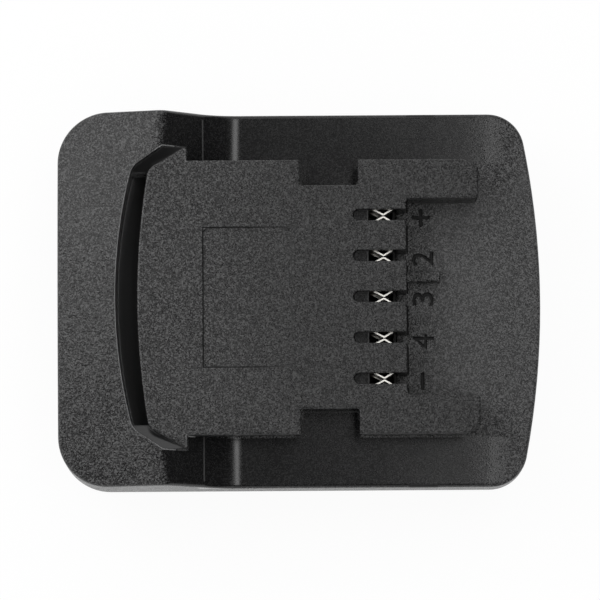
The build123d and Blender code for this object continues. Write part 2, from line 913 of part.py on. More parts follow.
def build_parts():
    """Every node's name and its solid or group of solids."""
    parts = {
        "upper_housing": upper_housing(),
        "lower_housing": lower_housing(),
        "contact_carrier": contact_carrier(),
        "circuit_board": circuit_board(),
        "identity_chip": board_part(chip_x, 0, chip_size),
        "cutoff_transistor": cutoff_transistor(),
        "fuse": board_part(fuse_x, side_parts_y + fuse_size[1] / 2, fuse_size),
        "thermistor": board_part(board_front_x - thermistor_setback, 0, thermistor_size),
        "board_resistors": part_row(resistor_x, resistor_size, resistor_count, resistor_pitch),
        "board_capacitors": part_row(capacitor_x, capacitor_size, capacitor_count, capacitor_pitch),
        "blade_holder": blade_holder(),
        "housing_screws": housing_screws(),
        "board_screws": board_screws(),
    }
    contact_names = ("contact_plus", "contact_two", "contact_three", "contact_four", "contact_minus")
    for name, y in zip(contact_names, slot_centres()):
        parts[name] = spring_contact(y)
    radii = (power_wire_radius, signal_wire_radius, signal_wire_radius, power_wire_radius)
    names = ("plus", "signal_left", "signal_right", "minus")
    for name, y, radius in zip(names, blade_centres(), radii):
        parts["blade_" + name] = blade(y)
        parts["wire_" + name] = lead(y, radius)
    return parts


def write_parts(parts):
    """One STEP file for each node."""
    os.makedirs("parts", exist_ok=True)
    for name, part in parts.items():
        shape = Compound(children=list(part)) if isinstance(part, list) else part
        export_step(shape, "parts/" + name + ".step")


if __name__ == "__main__":
    write_parts(build_parts())
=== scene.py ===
"""Finishes, small details, studio and camera for a slide-in battery adapter.

Lengths are in metres. The object stands on the floor with its terminals up: X points the way
it slides into the tool, and Z points up.
"""

from __future__ import annotations

import json
import logging
import math
from dataclasses import dataclass
from enum import Enum
from typing import Any, Callable, Mapping, Sequence

import bmesh
import bpy
from mathutils import Matrix, Vector

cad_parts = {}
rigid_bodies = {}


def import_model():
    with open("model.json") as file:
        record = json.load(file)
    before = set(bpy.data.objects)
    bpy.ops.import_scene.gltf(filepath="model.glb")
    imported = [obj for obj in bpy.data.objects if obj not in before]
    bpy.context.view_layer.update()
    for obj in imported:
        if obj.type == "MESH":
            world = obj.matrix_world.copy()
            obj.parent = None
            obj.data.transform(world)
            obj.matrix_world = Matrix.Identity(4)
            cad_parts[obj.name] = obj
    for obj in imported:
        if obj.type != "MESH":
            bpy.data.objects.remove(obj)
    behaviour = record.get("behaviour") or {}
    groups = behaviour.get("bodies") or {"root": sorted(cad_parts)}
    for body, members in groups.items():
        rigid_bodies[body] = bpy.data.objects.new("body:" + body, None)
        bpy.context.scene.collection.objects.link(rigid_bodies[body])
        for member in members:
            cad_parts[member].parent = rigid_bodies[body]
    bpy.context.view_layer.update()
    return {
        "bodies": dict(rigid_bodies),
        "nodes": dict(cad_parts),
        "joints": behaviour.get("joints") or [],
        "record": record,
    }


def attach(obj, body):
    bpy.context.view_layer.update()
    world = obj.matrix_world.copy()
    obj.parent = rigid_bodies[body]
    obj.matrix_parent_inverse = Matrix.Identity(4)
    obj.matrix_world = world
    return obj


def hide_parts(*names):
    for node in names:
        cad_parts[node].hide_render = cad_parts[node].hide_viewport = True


LOG = logging.getLogger("adapter")
MM = 0.001
CONTACT_SPOTS = (16.4 * MM, 8.2 * MM, 0.0, -8.2 * MM, -16.4 * MM)
WIRE_SPOTS = (16.5 * MM, 5.5 * MM, -5.5 * MM, -16.5 * MM)
Colour = tuple[float, float, float]
Point = tuple[float, float, float]
Piece = bpy.types.Object
Node = bpy.types.Node
Socket = bpy.types.NodeSocket
Material = bpy.types.Material


class Slot(Enum):
    """Material slots of the record."""

    CASE = "case_plastic"
    LOWER_CASE = "lower_case_plastic"
    CONTACT = "contact_metal"
    CARRIER = "carrier_plastic"
    HOLDER = "holder_plastic"
    BOARD = "board_laminate"
    CHIP = "chip_plastic"
    FUSE = "fuse_ceramic"
    RESISTOR = "resistor_ceramic"
    CAPACITOR = "capacitor_ceramic"
    BLADE = "blade_metal"
    RED = "wire_red"
    BLACK = "wire_black"
    YELLOW = "wire_yellow"
    WHITE = "wire_white"
    SCREW = "screw_steel"


# Shader maths


class Wire:
    """A socket with arithmetic: each expression adds Math nodes to its graph."""

    def __init__(self, graph: Graph, socket: Socket) -> None:
        """Wraps an output socket of a node in the given graph."""
        self.graph = graph
        self.socket = socket

    def _maths(self, operation: str, first: Number, second: Number) -> Wire:
        """Adds one Math node and returns its result."""
        node = self.graph.node("ShaderNodeMath", {"operation": operation}, {0: first, 1: second})
        return Wire(self.graph, node.outputs[0])

    def __add__(self, other: Number) -> Wire:
        """Sum."""
        return self._maths("ADD", self, other)

    __radd__ = __add__

    def __mul__(self, other: Number) -> Wire:
        """Product."""
        return self._maths("MULTIPLY", self, other)

    __rmul__ = __mul__

    def __sub__(self, other: Number) -> Wire:
        """Difference."""
        return self._maths("SUBTRACT", self, other)

    def __rsub__(self, other: Number) -> Wire:
        """Difference from a number."""
        return self._maths("SUBTRACT", other, self)

    def most(self, other: Number) -> Wire:
        """The larger of two values."""
        return self._maths("MAXIMUM", self, other)

    def size(self) -> Wire:
        """The value without its sign."""
        return self._maths("ABSOLUTE", self, 0.0)

    def fold(self, half: float) -> Wire:
        """Distance to the nearest multiple of twice the given length."""
        return self._maths("PINGPONG", self, half)

    def past(self, edge: float, soft: float) -> Wire:
        """Smooth step from 0 before an edge to 1 past it, within a softness on each side."""
        return self.rise(edge - soft, edge + soft)

    def before(self, edge: float, soft: float) -> Wire:
        """Smooth step from 1 before an edge to 0 past it."""
        return 1.0 - self.past(edge, soft)

    def within(self, ends: Span, soft: float, end_soft: float | None = None) -> Wire:
        """1 between two ends, 0 outside them. The far end may have a softness of its own."""
        return self.past(ends[0], soft) * self.before(ends[1], soft if end_soft is None else end_soft)

    def rise(self, low: float, high: float) -> Wire:
        """Smooth step from 0 at low to 1 at high.

        Args:
            low: Value that gives 0.
            high: Value that gives 1.

        Returns:
            The step.
        """
        node = self.graph.node(
            "ShaderNodeMapRange",
            {"interpolation_type": "SMOOTHSTEP"},
            {"Value": self, "From Min": low, "From Max": high},
        )
        return Wire(self.graph, node.outputs[0])


Number = Wire | float
Span = tuple[float, float]


class Graph:
    """The node graph of a material or of the world."""

    def __init__(self, owner: Material | bpy.types.World, output: str) -> None:
        """Empties the owner's nodes.

        Args:
            owner: The material or world.
            output: The output node's type.
        """
        owner.use_nodes = True
        self.owner = owner
        self.nodes = owner.node_tree.nodes
        self.links = owner.node_tree.links
        self.nodes.clear()
        self.output = self.node(output)
        self._places: Node | None = None

    @classmethod
    def paint(cls, name: str) -> Graph:
        """Starts a new material."""
        return cls(bpy.data.materials.new(name), "ShaderNodeOutputMaterial")

    def node(
        self,
        kind: str,
        settings: Mapping[str, Any] | None = None,
        values: Mapping[str | int, Any] | None = None,
    ) -> Node:
        """Adds a node, sets it up, then fills or links its sockets.

        Args:
            kind: The node's type.
            settings: Properties, which are set first.
            values: A number, colour, Wire or socket for each named or numbered input.

        Returns:
            The new node.
        """
        made = self.nodes.new(kind)
        for key, value in (settings or {}).items():
            setattr(made, key, value)
        for key, value in (values or {}).items():
            self.feed(made.inputs[key], value)
        return made

    def feed(self, socket: Socket, value: Any) -> None:
        """Sets or links one input socket.

        Args:
            socket: The input.
            value: A Wire, an output socket, a colour, a vector or a number.
        """
        if isinstance(value, Wire):
            self.links.new(value.socket, socket)
        elif isinstance(value, Socket):
            self.links.new(value, socket)
        elif isinstance(value, (tuple, list, Vector)) and len(value) == 3 and socket.type == "RGBA":
            socket.default_value = (*value, 1.0)
        else:
            socket.default_value = value

    def places(self, stretch: Point = (1.0, 1.0, 1.0)) -> Socket:
        """Object coordinates, stretched.

        Args:
            stretch: Factor along each axis.

        Returns:
            The vector output.
        """
        if self._places is None:
            self._places = self.node("ShaderNodeTexCoord")
        values = {"Vector": self._places.outputs["Object"], "Scale": stretch}
        return self.node("ShaderNodeMapping", None, values).outputs[0]

    def axis(self, name: str) -> Wire:
        """One object coordinate, in metres."""
        return self.part(self.places(), name)

    def facing(self, name: str) -> Wire:
        """One part of the surface's own normal."""
        return self.part(self.node("ShaderNodeNewGeometry").outputs["Normal"], name)

    def part(self, vector: Socket, name: str) -> Wire:
        """One part of a vector, by the name of its axis."""
        return Wire(self, self.node("ShaderNodeSeparateXYZ", None, {0: vector}).outputs[name])

    def noise(self, grain: float, detail: float = 2.0, rough: float = 0.5, vector: Any = None) -> Wire:
        """Cloudy pattern from 0 to 1.

        Args:
            grain: Size of a cloud.
            detail: Number of finer layers.
            rough: Weight of the finer layers.
            vector: Coordinates, object ones where none are given.

        Returns:
            The pattern.
        """
        values = {
            "Vector": self.places() if vector is None else vector,
            "Scale": 1.0 / grain,
            "Detail": detail,
            "Roughness": rough,
        }
        return Wire(self, self.node("ShaderNodeTexNoise", None, values).outputs["Fac"])

    def scatter(self, grain: float) -> Node:
        """Cells round many scattered points, a grain's length apart."""
        return self.node("ShaderNodeTexVoronoi", None, {"Vector": self.places(), "Scale": 1.0 / grain})

    def cells(self, grain: float) -> Wire:
        """Distance to the nearest of many scattered points."""
        return Wire(self, self.scatter(grain).outputs["Distance"])

    def specks(self, grain: float) -> Wire:
        """A random value from 0 to 1 in each of many small cells."""
        colour = self.scatter(grain).outputs["Color"]
        return Wire(self, self.node("ShaderNodeSeparateColor", None, {0: colour}).outputs[0])

    def blend(self, share: Number, first: Any, second: Any) -> Socket:
        """Mix of two colours: the share is the second one's."""
        kind = {"data_type": "RGBA", "clamp_factor": True}
        return self.node("ShaderNodeMix", kind, {0: share, 6: first, 7: second}).outputs[2]

    def soft_edges(self, radius: float) -> tuple[Socket, Wire]:
        """Normal with rounded edges, and how near an edge a point lies.

        Args:
            radius: Radius of the rounding.

        Returns:
            The normal, and the share for a painted edge highlight: 0 on flats rising to 1 on edges that run
            along Y, less on others.
        """
        rounded = self.node("ShaderNodeBevel", {"samples": 6}, {"Radius": radius}).outputs[0]
        flat = self.node("ShaderNodeNewGeometry").outputs["Normal"]
        dot = self.node("ShaderNodeVectorMath", {"operation": "DOT_PRODUCT"}, {0: rounded, 1: flat})
        # Edges along Y face the lamps, so they get the most painted highlight.
        across = self.part(rounded, "X").size().rise(0.15, 0.45)
        edge = (1.0 - Wire(self, dot.outputs["Value"])).rise(0.003, 0.045)
        return rounded, edge * (0.12 + across * 0.88)

    def relief(self, height: Wire, depth: float, strength: float = 1.0, normal: Any = None) -> Socket:
        """Normal with a relief on it.

        Args:
            height: The relief, from 0 to 1.
            depth: Its full depth.
            strength: Its weight.
            normal: Normal that it starts from.

        Returns:
            The normal output.
        """
        values: dict[str | int, Any] = {"Height": height, "Distance": depth, "Strength": strength}
        if normal is not None:
            values["Normal"] = normal
        return self.node("ShaderNodeBump", None, values).outputs[0]

    def surface(self, **values: Any) -> Material:
        """Ends the graph with a Principled shader: its inputs are named with underscores for spaces."""
        named = {key.replace("_", " "): value for key, value in values.items()}
        return self.end(self.node("ShaderNodeBsdfPrincipled", None, named))

    def seen(self) -> Wire:
        """1 for rays from the camera, from a mirror or through glass, else 0.

        Returns:
            The value.
        """
        path = self.node("ShaderNodeLightPath")
        kinds = ("Camera", "Glossy", "Transmission")
        camera, glossy, through = (Wire(self, path.outputs[f"Is {kind} Ray"]) for kind in kinds)
        return camera.most(glossy).most(through)

    def either(self, share: Any, first: Node, second: Node) -> Node:
        """Mix of two shaders: the share is the second one's."""
        values = {0: share, 1: first.outputs[0], 2: second.outputs[0]}
        return self.node("ShaderNodeMixShader", None, values)

    def end(self, shader: Node) -> Material | bpy.types.World:
        """Links the last shader to the output and hands back the owner."""
        self.links.new(shader.outputs[0], self.output.inputs[0])
        return self.owner


# Finishes


@dataclass(frozen=True)
class MouldedPlastic:
    """Injection-moulded plastic: spark-eroded grain, soft edges with a painted highlight, and painted light
    and shade where a subclass places them.
    """

    name: str
    colour: Colour
    # Lighter colour of the grain, also the colour of painted light.
    grain_and_painted_light: Colour
    roughness: float
    grain: float = 0.25 * MM
    grain_depth: float = 0.20 * MM
    sparkle: float = 0.25
    smooth: float = 0.17
    edge_radius: float = 0.45 * MM
    # Weight of the painted highlight along edges.
    edge_light: float = 1.1
    # Colour of the painted highlight along edges.
    edge_highlight_colour: Colour = (0.30, 0.30, 0.302)
    # Colour of painted shade; in the marks it is partly their own dark colour.
    dark: Colour = (0.001, 0.001, 0.001)
    cloud: float = 9 * MM
    ior: float = 1.45
    gloss: float = 0.5

    def polish(self, graph: Graph) -> Number:
        """Share by which the mould is polished, from 0 on full grain to 1."""
        return 0.0

    def painted_light(self, graph: Graph) -> Number:
        """Painted light: what is added to the share of the lighter colour."""
        return 0.0

    def tone(self, graph: Graph) -> Number:
        """Factor on the grain's lighter share; below 1 it paints shade."""
        return 1.0

    def crevice_shade(self, graph: Graph) -> Number:
        """Share of painted shade."""
        return 0.0

    def shade(self, graph: Graph) -> Number:
        """Share by which the painted edge highlight is taken off."""
        return 0.0

    def painted_fill(self, graph: Graph) -> Number:
        """Share of the edge highlight colour painted as light on a wall that the lamps don't reach."""
        return 0.0

    def make(self) -> Material:
        """Builds the material.

        Returns:
            The material.
        """
        graph = Graph.paint(self.name)
        edge_normal, edge = graph.soft_edges(self.edge_radius)
        # Share of the painted edge highlight, taken off where the subclass asks, plus painted light on walls
        # that the lamps miss.
        edge = edge * (1.0 - self.shade(graph)) + self.painted_fill(graph)
        grained = 1.0 - self.polish(graph)
        clouds = graph.noise(self.cloud, 3.0, 0.55)
        specks = graph.specks(self.grain)
        pits = graph.cells(self.grain * 1.5)
        open_part = 1.0 - self.crevice_shade(graph)
        relief = (specks * 0.15 + pits * 0.35) * grained * grained + open_part * 0.4
        light = (specks.rise(0.4, 0.95) + (clouds - 0.5) * 0.2) * grained * self.tone(graph)
        # Painted light from the subclass raises the share of the lighter colour.
        light = (light + self.painted_light(graph)) * open_part
        tint = graph.blend(light, self.colour, self.grain_and_painted_light)
        # Painted highlight along edges.
        tint = graph.blend(edge * open_part * self.edge_light, tint, self.edge_highlight_colour)
        # Painted shade, and in the marks partly their own dark colour.
        tint = graph.blend((1.0 - open_part) * 0.85, tint, self.dark)
        spread = (clouds - 0.5) * 0.06 + (specks - 0.5) * grained * self.sparkle
        shine = self.smooth + (self.roughness - self.smooth) * grained + spread + (1.0 - open_part) * 0.7
        normal = graph.relief(relief, self.grain_depth, 1.0, edge_normal)
        looks = {"Base_Color": tint, "Roughness": shine, "Normal": normal}
        return graph.surface(**looks, IOR=self.ior, Specular_IOR_Level=self.gloss)


@dataclass(frozen=True)
class UpperCasePlastic(MouldedPlastic):
    """The upper shell's plastic, polished on the slope, in the trench and beside the block."""

    plate_z: float = 24.0 * MM
    block_z: float = 33.0 * MM
    slope_foot_x: float = -12.4 * MM
    witness_x: float = -19.3 * MM
    witness_y: Span = (27.5 * MM, 36.4 * MM)
    # Where the painted edge highlight stops towards the front.
    edge_highlight_end_x: float = -21.1 * MM
    strip_x: Span = (-20.5 * MM, 39.0 * MM)
    strip_y: float = 27.5 * MM
    notch_x: Span = (-1.0 * MM, 12.2 * MM)
    notch_y: float = 20.25 * MM
    patch_x: Span = (26.0 * MM, 43.0 * MM)
    patch_y: float = 22.5 * MM
    patch_low_z: float = 14.0 * MM
    trench_x: Span = (-37.2 * MM, -22.45 * MM)
    trench_y: float = 30.5 * MM
    trench_middle: float = -34.1 * MM
    trench_bend: float = 208 * MM
    trench_step_y: float = 21.2 * MM
    trench_wall_x: Span = (-37.8 * MM, -22.75 * MM)
    top_shade_x: Span = (-33.0 * MM, 5.0 * MM)
    label: Point = (-10.4 * MM, 8.85 * MM, 14.0 * MM)
    mark_x: Span = (21.75 * MM, 27.5 * MM)
    block_front_x: Span = (16.0 * MM, 39.5 * MM)
    front_shadow_x: Span = (21.6 * MM, 21.85 * MM)
    front_shadow_y: float = 19.55 * MM
    half_pitch: float = 4.1 * MM
    half_slot: float = 1.25 * MM

    def spot(self, graph: Graph) -> tuple[Wire, Wire, Wire]:
        """Place along X, distance from the middle plane, and height."""
        x, y, z = (graph.axis(name) for name in "XYZ")
        return x, y.size(), z

    def marks(self, x: Wire, z: Wire) -> Wire:
        """Share of the engraved marks: 1 a little below the plate where they are."""
        below = z.before(self.plate_z - 0.04 * MM, 0.02 * MM) * z.past(self.plate_z - 0.9 * MM, 0.1 * MM)
        return x.within(self.mark_x, 0.05 * MM, 0.1 * MM) * below

    def trench(self, x: Wire, side: Wire, z: Wire) -> Wire:
        """Share of the trench: 1 inside it and below its edges."""
        along = x.within(self.trench_x, 0.1 * MM, 0.05 * MM)
        return along * side.before(self.trench_y, 0.1 * MM) * z.before(self.block_z - 0.175 * MM, 0.075 * MM)

    def polish(self, graph: Graph) -> Number:
        """Nearly 1 on the slope and in the trench, less on the strips beside the block.

        Args:
            graph: The material's graph.

        Returns:
            The share by which the mould is polished.
        """
        x, side, z = self.spot(graph)
        above = z.past(self.plate_z - 0.25 * MM, 0.15 * MM)
        slope = graph.facing("X").rise(0.1, 0.72) * x.before(self.slope_foot_x, 0.5 * MM)
        beside = x.within(self.strip_x, 0.5 * MM, 7 * MM) * side.past(self.strip_y, 0.3 * MM)
        beside = beside * z.before(self.plate_z + 5 * MM, 1 * MM)
        notch = x.within(self.notch_x, 0.2 * MM) * side.past(self.notch_y, 0.25 * MM)
        notch = notch * z.before(self.block_z - 0.45 * MM, 0.15 * MM) * 0.85
        flats = slope.most(beside) * 0.88
        return (flats.most(self.trench(x, side, z)).most(notch) * above).most(self.marks(x, z))

    def painted_light(self, graph: Graph) -> Number:
        """Painted light: a highlight on the witness line across the slope, a lighter trench with its matt
        floor and walls, and a lighter patch on the plate's front.

        Args:
            graph: The material's graph.

        Returns:
            What is added to the share of the lighter colour.
        """
        x, side, z = self.spot(graph)
        # Painted highlight along the witness line across the slope.
        line = (x - self.witness_x).size().before(0.13 * MM, 0.07 * MM)
        line = line * side.within(self.witness_y, 0.1 * MM, 0.2 * MM)
        line = line * z.past(self.plate_z + 0.7 * MM, 0.3 * MM)
        # Painted light: the plate's front is lighter, as if lit more strongly.
        start, end = self.patch_x
        patch = x.past(start, 6 * MM) * (1.0 - side.past(self.patch_y, 3.5 * MM) * x.before(end, 4 * MM))
        patch = patch * z.before(self.plate_z + 1.1 * MM, 0.9 * MM) * z.past(self.patch_low_z, 1 * MM)
        # Painted light in the trench, where the lamps barely reach: a little all over, more on the low
        # floor's inner side, most on the walls towards its ends.
        bent = x - side * side * (1.0 / self.trench_bend)
        deep = bent.past(self.trench_middle, 1.7 * MM) * z.before(self.plate_z + 3 * MM, 1 * MM)
        wall = (1.0 - graph.facing("Z").rise(0.3, 0.7)) * side.past(self.trench_step_y, 0.4 * MM)
        return line * 0.6 + patch * 0.25 + self.trench(x, side, z) * (deep * 0.3 + wall * 1.2 + 0.1)

    def tone(self, graph: Graph) -> Number:
        """Factor on the grain's lighter share: painted shade on the block's top, deepest at its front."""
        x, _, z = self.spot(graph)
        # Painted shade on the block's top, deepest at its front.
        return 1.0 - z.past(self.block_z - 0.3 * MM, 0.2 * MM) * x.rise(*self.top_shade_x) * 0.42

    def shade(self, graph: Graph) -> Number:
        """Share by which the painted edge highlight is taken off: in the trench and all over the front."""
        x, side, z = self.spot(graph)
        return self.trench(x, side, z).most(x.past(self.edge_highlight_end_x, 0.5 * MM))

    def painted_fill(self, graph: Graph) -> Number:
        """Share of the edge highlight colour painted as light on the step between the trench's floor and its
        outer ramps.

        Args:
            graph: The material's graph.

        Returns:
            The share.
        """
        x, side, z = self.spot(graph)
        # Painted light on the step walls between the trench's floor and its ramps, which the lamps don't
        # reach.
        step = side.past(self.trench_step_y - 0.1 * MM, 0.3 * MM)
        step = step * side.before(self.trench_step_y + 5.3 * MM, 0.5 * MM)
        return self.trench(x, side, z) * graph.facing("Y").size().rise(0.5, 0.8) * step * 0.4

    def crevice_shade(self, graph: Graph) -> Number:
        """Painted shade: 1 along the label recess's edges and on and below the block's front walls, less on
        the trench's outer wall, and 0.6 in the marks, partly their own dark colour and partly painted shade.

        Args:
            graph: The material's graph.

        Returns:
            The share of painted shade.
        """
        x, side, z = self.spot(graph)
        lean = graph.facing("X")
        middle, half_long, half_wide = self.label
        # Painted shade along the label recess's outline, fainter on its front half.
        outline = ((x - middle).size() - half_long).most(side - half_wide)
        line = outline.size().before(0.105 * MM, 0.065 * MM) * z.past(self.block_z - 0.35 * MM, 0.15 * MM)
        line = line * (1.0 - x.rise(middle, middle + half_long) * 0.8) * 0.9
        # Painted shade on the block's front walls.
        wall = lean.rise(0.5, 0.8) * x.within(self.block_front_x, 1 * MM, 0.5 * MM)
        wall = wall * z.past(self.plate_z + 0.25 * MM, 0.25 * MM)
        # Painted shade on the trench's outer wall.
        rear = x.within(self.trench_wall_x, 0.2 * MM, 0.25 * MM) * lean.rise(0.2, 0.4)
        rear = rear * side.before(self.trench_y - 0.3 * MM, 0.2 * MM)
        rear = rear * z.before(self.block_z + 1.35 * MM, 0.15 * MM) * 0.35
        return line.most(self.marks(x, z) * 0.6).most(wall).most(rear).most(self.front_shadow(x, side, z))

    def front_shadow(self, x: Wire, side: Wire, z: Wire) -> Wire:
        """Share of a painted shadow line on the plate along the block's front, but for the slots' mouths.

        Args:
            x: Place along X.
            side: Distance from the middle plane.
            z: Height.

        Returns:
            The share.
        """
        along = x.within(self.front_shadow_x, 0.05 * MM) * side.before(self.front_shadow_y, 0.25 * MM)
        between = side.fold(self.half_pitch).past(self.half_slot, 0.1 * MM)
        return along * between * z.before(self.plate_z + 0.45 * MM, 0.15 * MM) * 0.8


@dataclass(frozen=True)
class SpringMetal:
    """Rolled and plated strip: fine lines along the strip, darker where it dulls."""

    name: str
    colour: Colour
    # Darker colour: worn metal, and on the contacts painted shade.
    dulled_and_shaded: Colour
    roughness: float
    line: float = 0.05 * MM
    stretch: Point = (0.15, 1.0, 1.0)
    edge_radius: float = 0.05 * MM
    cloud: float = 1.6 * MM
    line_depth: float = 0.002 * MM

    def make(self) -> Material:
        """Builds the material.

        Returns:
            The material.
        """
        graph = Graph.paint(self.name)
        lines = graph.noise(self.line, 2.0, 0.5, graph.places(self.stretch))
        clouds = graph.noise(self.cloud, 3.0, 0.6)
        dull_and_shade, shine = self.wear_and_shade(graph, lines, clouds)
        tint = graph.blend(dull_and_shade, self.colour, self.dulled_and_shaded)
        edge_normal, _ = graph.soft_edges(self.edge_radius)
        normal = graph.relief(lines, self.line_depth, 0.8, edge_normal)
        return graph.surface(Base_Color=tint, Metallic=1.0, Roughness=shine, Normal=normal)

    def wear_and_shade(self, graph: Graph, lines: Wire, clouds: Wire) -> tuple[Wire, Wire]:
        """Share of the darker colour and roughness, from the fine lines and the large patches."""
        return clouds.rise(0.5, 0.75) * 0.7 + lines * 0.15, self.roughness + lines * 0.12 + clouds * 0.1


@dataclass(frozen=True)
class ForkMetal(SpringMetal):
    """Contact strip, lit at the pinch, with painted shade towards its root and on the lower leaves."""

    lit_from_x: float = 14.8 * MM
    lower_z: float = 26.0 * MM

    def wear_and_shade(self, graph: Graph, lines: Wire, clouds: Wire) -> tuple[Wire, Wire]:
        """Share of the darker colour, which is painted shade away from the pinch plus cloudy patches, and
        roughness.

        Args:
            graph: The material's graph.
            lines: Fine lines along the strip.
            clouds: Large soft patches.

        Returns:
            Both values.
        """
        # Painted light at the pinch on the upper leaves; everywhere else painted shade, half of it taken off
        # the lower leaves' up-facing parts.
        near = graph.axis("X").past(self.lit_from_x, 0.3 * MM)
        high = graph.axis("Z").past(self.lower_z, 0.6 * MM)
        upward = graph.facing("Z").rise(0.3, 0.7)
        lit_share = near * (high + (1.0 - high) * upward * 0.5)
        dull_and_shade = 1.0 - lit_share + clouds.rise(0.5, 0.75) * 0.25
        return dull_and_shade, self.roughness + (1.0 - lit_share) * 0.25 + lines * 0.1


@dataclass(frozen=True)
class WireJacket:
    """Extruded insulation with a faint lengthwise flow."""

    name: str
    colour: Colour
    roughness: float = 0.42
    streak: float = 0.35 * MM
    smudge: float = 2.5 * MM
    depth: float = 0.008 * MM

    def make(self) -> Material:
        """Builds the material.

        Returns:
            The material.
        """
        graph = Graph.paint(self.name)
        flow = graph.noise(self.streak, 2.0, 0.5, graph.places((0.12, 1.0, 0.12)))
        dirt = graph.noise(self.smudge, 3.0, 0.6).rise(0.55, 0.8)
        darker = tuple(part * 0.6 for part in self.colour)
        tint = graph.blend(dirt * 0.6 + flow * 0.2, self.colour, darker)
        normal = graph.relief(flow, self.depth)
        return graph.surface(Base_Color=tint, Roughness=self.roughness + flow * 0.1, Normal=normal)


@dataclass(frozen=True)
class Laminate:
    """Circuit board: lacquer over tracks that show as faint ridges."""

    name: str
    lacquer: Colour
    track: Colour
    pitch: float = 2.54 * MM
    wander: float = 14 * MM
    thread: float = 0.5 * MM
    ridge: float = 0.035 * MM

    def make(self) -> Material:
        """Builds the material.

        Returns:
            The material.
        """
        graph = Graph.paint(self.name)
        lanes = graph.axis("Y") * (1.0 / self.pitch) + graph.noise(self.wander, 1.0) * 1.6
        track = lanes.fold(0.5).rise(0.24, 0.28)
        weave = graph.noise(self.thread, 1.0, 0.5, graph.places((1.0, 0.35, 1.0)))
        tint = graph.blend(track * 0.8 + weave * 0.15, self.lacquer, self.track)
        normal = graph.relief(track + weave * 0.1, self.ridge)
        return graph.surface(Base_Color=tint, Roughness=0.32 + weave * 0.12, Normal=normal, Coat_Weight=0.4)


@dataclass(frozen=True)
class FiredBody:
    """Small moulded or fired component body with speckles."""

    name: str
    colour: Colour
    speckle: Colour
    roughness: float
    speck: float = 0.12 * MM
    cloud: float = 0.9 * MM
    depth: float = 0.006 * MM
    cap: Colour = (0.62, 0.61, 0.59)

    def ends(self, graph: Graph, clouds: Wire) -> Number:
        """Share of the metal caps: none here."""
        return 0.0

    def make(self) -> Material:
        """Builds the material.

        Returns:
            The material.
        """
        graph = Graph.paint(self.name)
        specks = (1.0 - graph.cells(self.speck)).rise(0.55, 0.9)
        clouds = graph.noise(self.cloud, 3.0, 0.6)
        ends = self.ends(graph, clouds)
        body = graph.blend(specks * 0.4 + clouds * 0.3, self.colour, self.speckle)
        tint = graph.blend(ends, body, self.cap)
        normal = graph.relief((specks + clouds * 0.4) * (1.0 - ends) + ends * 2.0, self.depth)
        shine = (self.roughness + clouds * 0.1) * (1.0 - ends) + ends * (clouds * 0.15 + 0.22)
        return graph.surface(Base_Color=tint, Metallic=ends, Roughness=shine, Normal=normal)


@dataclass(frozen=True)
class CappedBody(FiredBody):
    """Component body with a metal cap at each end along X."""

    middle: float = 0.0
    reach: float = 0.7 * MM

    def ends(self, graph: Graph, clouds: Wire) -> Number:
        """Share of the metal caps: 1 beyond the reach from the middle, with a wavy border."""
        out = (graph.axis("X") - self.middle).size() + (clouds - 0.5) * 0.06 * MM
        return out.past(self.reach, 0.02 * MM)


# Plastics: the second colour is the grain's lighter colour and the colour of painted light; edge_light
# weights the painted edge highlight.
UPPER_CASE = UpperCasePlastic(
    "upper_case_plastic", (0.0068, 0.0068, 0.0070), (0.082, 0.082, 0.0825), 0.34, grain=0.22 * MM
)
LOWER_CASE = MouldedPlastic(
    "lower_case_plastic", (0.0068, 0.0068, 0.0070), (0.060, 0.060, 0.0605), 0.34, gloss=0.3, edge_light=0.3
)
CARRIER = MouldedPlastic(
    "carrier_plastic", (0.020, 0.019, 0.018), (0.045, 0.043, 0.040), 0.45, grain=0.16 * MM, edge_light=0.25
)
HOLDER = MouldedPlastic(
    "holder_plastic", (0.016, 0.016, 0.017), (0.040, 0.040, 0.042), 0.42, grain=0.18 * MM, edge_light=0.25
)
FLOOR = MouldedPlastic(
    "slot_floor_plastic", (0.008, 0.008, 0.0082), (0.045, 0.045, 0.0455), 0.5, grain=0.16 * MM, edge_light=0.3
)
CHIP = FiredBody("chip_plastic", (0.012, 0.012, 0.013), (0.05, 0.05, 0.05), 0.5)
FUSE = CappedBody(
    "fuse_ceramic", (0.62, 0.58, 0.50), (0.45, 0.40, 0.33), 0.5, middle=4.15 * MM, reach=2.6 * MM
)
RESISTOR = CappedBody("resistor_ceramic", (0.02, 0.021, 0.024), (0.09, 0.09, 0.10), 0.35, middle=6.85 * MM)
THERMISTOR = CappedBody("thermistor_ceramic", (0.05, 0.045, 0.04), (0.12, 0.11, 0.10), 0.4, middle=24.35 * MM)
CAPACITOR = CappedBody(
    "capacitor_ceramic", (0.34, 0.22, 0.13), (0.24, 0.15, 0.09), 0.4, middle=-3.35 * MM, reach=1.1 * MM
)
BOARD = Laminate("board_laminate", (0.008, 0.055, 0.022), (0.014, 0.095, 0.035))
